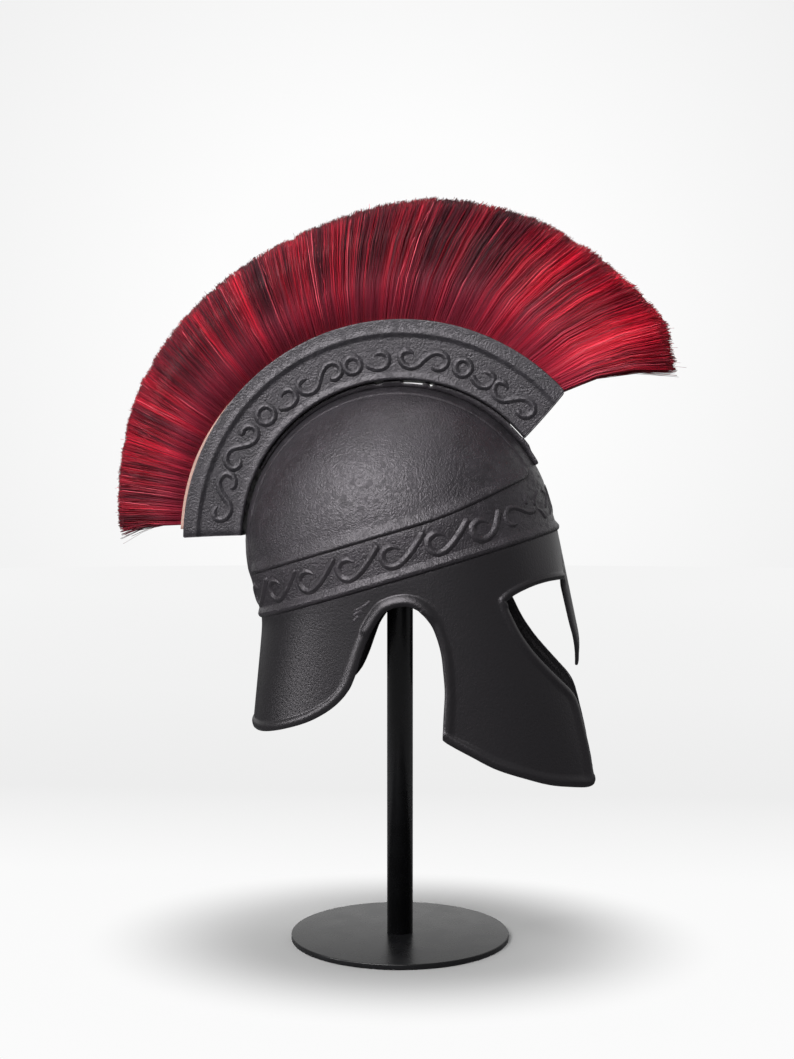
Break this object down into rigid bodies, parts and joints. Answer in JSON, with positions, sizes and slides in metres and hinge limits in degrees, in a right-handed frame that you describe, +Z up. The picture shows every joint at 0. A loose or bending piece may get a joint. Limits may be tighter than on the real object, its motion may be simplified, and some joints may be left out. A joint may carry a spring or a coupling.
{
  "type": "roman helmet on a display stand",
  "caption": "Crested steel helmet with brow band, cheek pieces, nose guard and neck guard, an arched crest box with a bristle plume, held up by a round post on a disc base.",
  "frame": {"origin": "middle of the base disc's underside", "axes": "+Z up along the post, +X the way the face looks, +Y to the wearer's left"},
  "size_m": [0.469, 0.2056, 0.6244],
  "materials": {
    "helmet_paint": "matt charcoal paint with a fine cast grain",
    "crest_paint": "matt charcoal paint with a fine cast grain",
    "hair_block": "plain tan wood",
    "plume_hair": "crimson dyed bristle with dark strands",
    "stand_coat": "satin black powder coat"
  },
  "bodies": {
    "root": {"helmet_shell": "helmet_paint", "crest_tab": "helmet_paint", "crest_box": "crest_paint", "hair_block": "hair_block", "plume": "plume_hair", "stand_post": "stand_coat", "stand_disc": "stand_coat"}
  },
  "joints": []
}
